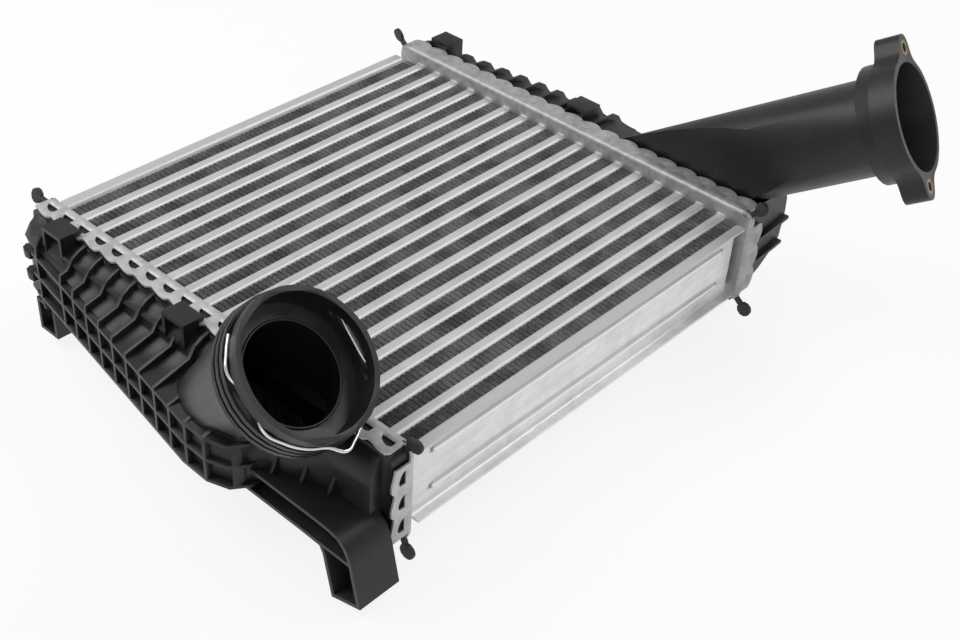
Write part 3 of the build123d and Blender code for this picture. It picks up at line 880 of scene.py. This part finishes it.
def buildBoreLip():
    work = bmesh.new()
    ring = bmesh.ops.create_circle(work, cap_ends=False, segments=12, radius=boreLip["bead"])["verts"]
    bmesh.ops.rotate(work, cent=(0, 0, 0), matrix=Matrix.Rotation(math.radians(90), 3, "X"), verts=ring)
    bmesh.ops.translate(work, vec=(boreLip["radius"], 0, 0), verts=ring)
    bmesh.ops.spin(
        work, geom=work.verts[:] + work.edges[:], cent=(0, 0, 0), axis=(0, 0, 1), angle=math.radians(360),
        steps=72, use_merge=True,
    )
    turn = socketAxis.to_track_quat("Z", "Y").to_matrix()
    bmesh.ops.rotate(work, cent=(0, 0, 0), matrix=turn, verts=work.verts)
    bmesh.ops.translate(work, vec=socketMouth - socketAxis * boreLip["depth"], verts=work.verts)
    bmesh.ops.recalc_face_normals(work, faces=work.faces)
    addPiece("boreLip", meshFrom("boreLip", work), plasticFinish, [], 60)


buildBoreLip()
print("bore lip spun")


# front end of the flange tank, below the neck
nose = {
    "rows": (-134.0, -131.0, -112.0, -90.0, -66.0),
    # x and z of the skin from the neck down to the foot, at each row's y
    "skin": (
        ((172, 27), (180, 26), (183, 19), (184, 8), (182.5, -8), (178, -14), (165, -23), (151, -29)),
        ((174, 27.5), (182, 26.5), (185, 19), (186, 8), (184.5, -8), (180, -15), (167, -24), (151, -30)),
        ((177, 20), (182, 18.5), (185, 14), (186, 6), (185, -8), (180, -15), (167, -24), (151, -30)),
        ((180, 14.5), (182, 13), (184.5, 10), (185.5, 3), (184, -8), (179, -15), (167, -23), (151, -30)),
        ((174, 12), (177, 11), (179, 8), (180, 2), (178, -8), (174, -13), (165, -20), (151, -25)),
    ),
    "inner": 150,
    "head": 28,
    "foot": -29,
    "ribs": ((6.0, 184.6), (-10.0, 181.6)),  # height, and how far each reaches
    "ribOut": 3.0,
    "ribThick": 2.0,
    "ribRise": 2.5,
}


def buildNose():
    work = bmesh.new()
    y = nose["rows"][0]
    first = wireThrough(work, [(x, y, z) for x, z in nose["skin"][0]])
    row = first
    for rowY, outline in zip(nose["rows"][1:], nose["skin"][1:]):
        row = growRow(work, row, [(x, rowY, z) for x, z in outline], closed=False)
    # the end wall
    foot = work.verts.new((nose["inner"], y, nose["foot"]))
    head = work.verts.new((nose["inner"], y, nose["head"]))
    bmesh.ops.contextual_create(work, geom=first + [foot, head])
    # two ribs across it
    for height, reach in nose["ribs"]:
        rib = bmesh.ops.create_cube(work, size=1)["verts"]
        long = reach - nose["inner"]
        middle = (nose["inner"] + long / 2, y - nose["ribOut"] / 2 + 0.1, height)
        bmesh.ops.scale(work, vec=(long, nose["ribOut"], nose["ribThick"]), verts=rib)
        bmesh.ops.translate(work, vec=middle, verts=rib)
        for vert in rib:
            vert.co.z += nose["ribRise"] * (vert.co.x - reach) / long
    bmesh.ops.recalc_face_normals(work, faces=work.faces)
    addPiece("tankRightNose", meshFrom("tankRightNose", work), plasticFinish, [], 35)


buildNose()
print("nose built")


# the tanks and the gaskets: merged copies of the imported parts, with eased edges
moulded = {
    # edges steeper than "eased" get the bevel, and those steeper than "sharp" don't shade smoothly
    "tank": {"slot": "tank_plastic", "finish": plasticFinish, "width": 0.5, "eased": 52, "sharp": 52},
    "gasket": {"slot": "seal_rubber", "finish": rubberFinish, "width": 0.4, "eased": 28, "sharp": 40},
}
neck = {
    "face": (191.3, -194.5, 96.1),
    "axis": (0.254, -0.823, 0.509),
    "radius": 26.0,
    "collar": 40.0,  # from the flange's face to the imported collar's step
    "shorter": 18.4,
    "flange": 14.0,
    "flangeRadius": 33.0,
    "bolts": (0.270, 0.565, 0.779),
    "waist": 3.2,
    "waistLean": 1.3,  # above 1 the waist lies nearer to the bolt
    "waistCuts": 11,
}
neckAxis = Vector(neck["axis"]).normalized()
neckFace = coreMiddle + Vector(neck["face"]) * mm


def behindFlange(place):
    # depth behind the flange's face and radius round the neck's axis, in millimetres
    depth = (neckFace - place).dot(neckAxis)
    return depth / mm, (place - neckFace + neckAxis * depth).length / mm


def shortenCollar(work):
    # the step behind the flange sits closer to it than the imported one
    for vert in work.verts:
        depth, radius = behindFlange(vert.co)
        if abs(depth - neck["collar"]) < 0.4 and radius > neck["radius"]:
            vert.co += neckAxis * neck["shorter"] * mm


def waistLugs(work):
    # each lug of the flange narrows before it meets the round middle
    bolts = Vector(neck["bolts"])
    bolts = (bolts - neckAxis * bolts.dot(neckAxis)).normalized()
    sides = []
    spans = []
    for edge in work.edges:
        depths, radii = zip(*[behindFlange(vert.co) for vert in edge.verts])
        level = abs(depths[0] - depths[1]) < 0.3
        onFlange = min(depths) > -0.3 and max(depths) < neck["flange"] + 0.3
        outside = min(radii) > neck["flangeRadius"]
        if level and onFlange and outside and edge.calc_length() > 20 * mm:
            ends = [vert.co.copy() for vert in edge.verts]
            sides.append(edge)
            spans.append(sorted(ends, key=lambda place: abs((place - neckFace).dot(bolts))))
    bmesh.ops.subdivide_edges(work, edges=sides, cuts=neck["waistCuts"])
    for inner, outer in spans:
        length = (outer - inner).length
        line = (outer - inner).normalized()
        inward = line.cross(neckAxis)
        if inward.dot(neckFace - (inner + outer) / 2) < 0:
            inward = -inward
        for vert in work.verts:
            along = (vert.co - inner).dot(line) / length
            if 0.01 < along < 0.99 and (vert.co - inner - line * along * length).length < 0.05 * mm:
                push = neck["waist"] * math.sin(math.pi * along ** neck["waistLean"]) ** 2
                vert.co += inward * push * mm


def easeMoulding(nodeName, name, kind):
    work = bmesh.new()
    work.from_mesh(nodes[nodeName].data)
    if nodeName == "tank_right":
        shortenCollar(work)
    bmesh.ops.remove_doubles(work, verts=work.verts, dist=2e-6)
    bmesh.ops.dissolve_degenerate(work, dist=5e-6, edges=work.edges)
    bmesh.ops.dissolve_limit(
        work, angle_limit=math.radians(0.4), use_dissolve_boundaries=False, verts=work.verts, edges=work.edges
    )
    if nodeName == "tank_right":
        waistLugs(work)
    mesh = bpy.data.meshes.new(name)
    work.to_mesh(mesh)
    work.free()
    piece = addPiece(name, mesh, kind["finish"], [nodeName], kind["sharp"])
    ease = piece.modifiers.new("easedEdges", "BEVEL")
    ease.width = kind["width"] * mm
    ease.segments = 2
    ease.limit_method = "ANGLE"
    ease.angle_limit = math.radians(kind["eased"])
    ease.use_clamp_overlap = True
    ease.harden_normals = False


easeMoulding("tank_left", "tankLeftBody", moulded["tank"])
easeMoulding("tank_right", "tankRightBody", moulded["tank"])
easeMoulding("gasket_left", "gasketLeftRing", moulded["gasket"])
easeMoulding("gasket_right", "gasketRightRing", moulded["gasket"])
print("mouldings eased")


# parts that stay as packed
for nodeName, material in (("inner_fins", finFinish), ("flange_inserts", brassFinish)):
    mesh = nodes[nodeName].data
    mesh.materials.clear()
    mesh.materials.append(material)


# room, lamps and camera
room = {"floorTone": 0.9, "floorLift": 0.86, "worldTone": 0.40, "mirrorTone": 0.55}
lamps = {
    # where each panel hangs, its width and height, and its power
    "keyPanel": ((-0.55, 0.66, 0.98), 0.95, 0.8, 9.5),
    "edgePanel": ((0.85, -0.4, 1.05), 0.9, 0.35, 6.0),
    "fillPanel": ((-1.1, -0.9, 0.5), 0.9, 0.6, 1.3),
}
photoView = {
    "lens": 54.418,
    "where": (-0.48716, -0.46690, 0.47395),
    "turn": (0.9119986, -0.0563976, -0.8298272),
}


def buildFloor():
    work = bmesh.new()
    bmesh.ops.create_grid(work, x_segments=1, y_segments=1, size=6)
    bmesh.ops.translate(work, vec=(0, 0, cadBox[0][2] - 0.0005), verts=work.verts)
    mesh = bpy.data.meshes.new("floor")
    work.to_mesh(mesh)
    work.free()
    floor = addObject("floor", mesh)
    finish = Finish("floorPaper")
    finish.set({"Base Color": gray(room["floorTone"]), "Roughness": 0.9})
    # seen directly or mirrored, the paper is nearly white and keeps a little of the shadow
    light = finish.add("ShaderNodeLightPath", {}, {})
    seen = finish.number(light, "Is Camera Ray").larger(finish.number(light, "Is Glossy Ray"))
    glow = finish.add("ShaderNodeEmission", {}, {"Color": gray(1.0), "Strength": 1.0})
    sockets = {0: seen * room["floorLift"], 1: finish.shader.outputs[0], 2: glow.outputs[0]}
    mixed = finish.add("ShaderNodeMixShader", {}, sockets)
    finish.feed(finish.output.inputs["Surface"], mixed.outputs[0])
    mesh.materials.append(finish.material)


def buildWorld():
    # white behind the object, a mid grey for its reflections, darker for the light it gives
    world = bpy.data.worlds.new("studio")
    bpy.context.scene.world = world
    world.use_nodes = True
    sky = Shading(world.node_tree)
    light = sky.add("ShaderNodeLightPath", {}, {})
    seen = sky.number(light, "Is Camera Ray").larger(sky.number(light, "Is Transmission Ray"))
    mirrored = sky.number(light, "Is Glossy Ray")
    tone = sky.blendColor(mirrored, gray(room["worldTone"]), gray(room["mirrorTone"]))
    back = sky.add("ShaderNodeBackground", {}, {"Color": sky.blendColor(seen, tone, gray(1.0))})
    sky.add("ShaderNodeOutputWorld", {}, {"Surface": back.outputs[0]})


def addLamp(name, where, width, height, power):
    lamp = bpy.data.lights.new(name, "AREA")
    lamp.shape = "RECTANGLE"
    lamp.size = width
    lamp.size_y = height
    lamp.energy = power
    holder = addObject(name, lamp)
    holder.location = where
    holder.rotation_euler = (-Vector(where)).to_track_quat("-Z", "Y").to_euler()


def addCamera():
    camera = bpy.data.cameras.new("photoCamera")
    camera.sensor_fit = "HORIZONTAL"
    camera.sensor_width = 36
    camera.lens = photoView["lens"]
    camera.clip_start = 0.01
    holder = addObject("photoCamera", camera)
    holder.location = coreMiddle + Vector(photoView["where"])
    holder.rotation_euler = photoView["turn"]
    bpy.context.scene.camera = holder


buildFloor()
buildWorld()
for name, (where, width, height, power) in lamps.items():
    addLamp(name, where, width, height, power)
addCamera()
bpy.context.scene.view_settings.view_transform = "Standard"
print("room ready")
